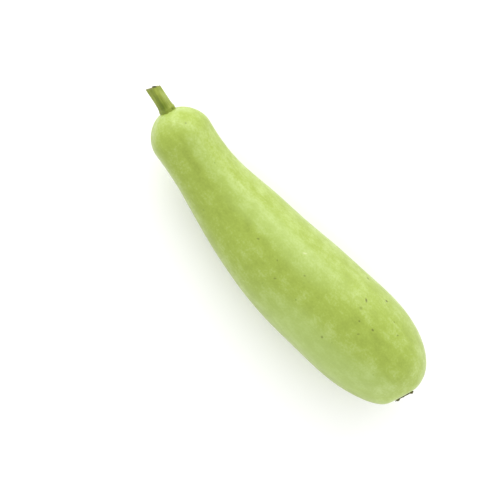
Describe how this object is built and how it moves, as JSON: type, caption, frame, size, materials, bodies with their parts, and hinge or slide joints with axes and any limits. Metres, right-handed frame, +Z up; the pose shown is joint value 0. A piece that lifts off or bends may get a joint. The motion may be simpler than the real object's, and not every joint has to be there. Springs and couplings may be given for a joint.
{
  "type": "bottle gourd",
  "caption": "Smooth pale green bottle gourd, as picked, lying on its side: narrow neck, thick blossom half, cut stem stub and a dried blossom scar.",
  "frame": {"origin": "bottom centre of the box round the whole gourd, on the surface that it lies on", "axes": "+Z up, X along the gourd's length with the cut stem at -X and the blossom end at +X"},
  "size_m": [0.3488, 0.0926, 0.0914],
  "materials": {
    "fruit_skin": "satin, faintly mottled",
    "stem_green": "dull, fibrous",
    "dried_scar": "dry, fibrous"
  },
  "bodies": {
    "root": {"fruit": "fruit_skin", "stem": "stem_green", "blossom_scar": "dried_scar"}
  },
  "joints": []
}
